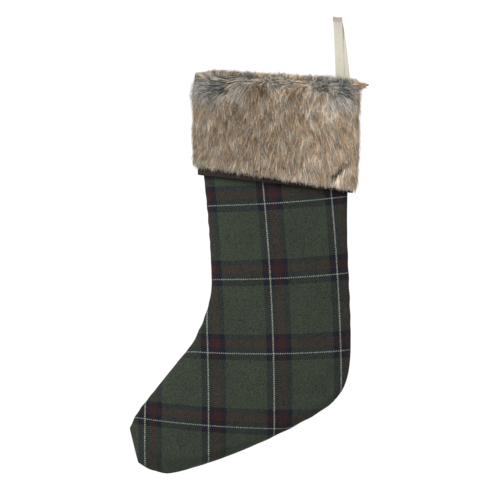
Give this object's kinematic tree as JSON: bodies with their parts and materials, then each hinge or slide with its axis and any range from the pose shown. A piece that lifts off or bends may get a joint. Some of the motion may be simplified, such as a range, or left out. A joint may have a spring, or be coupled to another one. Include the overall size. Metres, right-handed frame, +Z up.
{
  "type": "hanging stocking",
  "caption": "Lined tartan Christmas stocking with a turned-down faux-fur cuff and a folded tape loop to hang it by.",
  "frame": {"origin": "Middle of the flat under the crown of the hanging tape, where a hook bears.", "axes": "+Z up along the leg, -Y the front, -X towards the toe."},
  "size_m": [0.2863, 0.0684, 0.5468],
  "materials": {
    "tartan": "brushed twill in dark green with navy, burgundy and thin cream lines",
    "lining": "plain weave cotton in dark green",
    "fur": "long-pile faux fur, slate grey at the root and tan and cream at the tips",
    "facing": "brushed plain cloth in dark brown",
    "tape": "natural cotton twill tape",
    "thread": "dark green sewing thread"
  },
  "bodies": {
    "loop_top": {"hanging_loop_top": "tape"},
    "loop_legs": {"hanging_loop_front_leg": "tape", "hanging_loop_back_leg": "tape"},
    "stocking": {"tartan_front_panel": "tartan", "tartan_back_panel": "tartan", "leg_seam_allowance": "tartan", "lining_front_panel": "lining", "lining_back_panel": "lining", "cuff_fur_front": "fur", "cuff_fur_back": "fur", "cuff_seam_corner": "fur", "cuff_facing_front": "facing", "cuff_facing_back": "facing", "mouth_rim_seam": "facing", "hanging_loop_sewn_ends": "tape", "loop_bar_tack": "thread"}
  },
  "joints": [
    {"name": "loop_twist", "type": "hinge", "parent": "loop_top", "child": "loop_legs", "pos_m": [0.003, 0, -0.038], "axis": [0, 0, 1], "range_deg": [-90, 90]},
    {"name": "loop_fold", "type": "hinge", "parent": "loop_legs", "child": "stocking", "pos_m": [0.0064, 0, -0.074], "axis": [1, 0, 0], "range_deg": [-90, 90]}
  ]
}
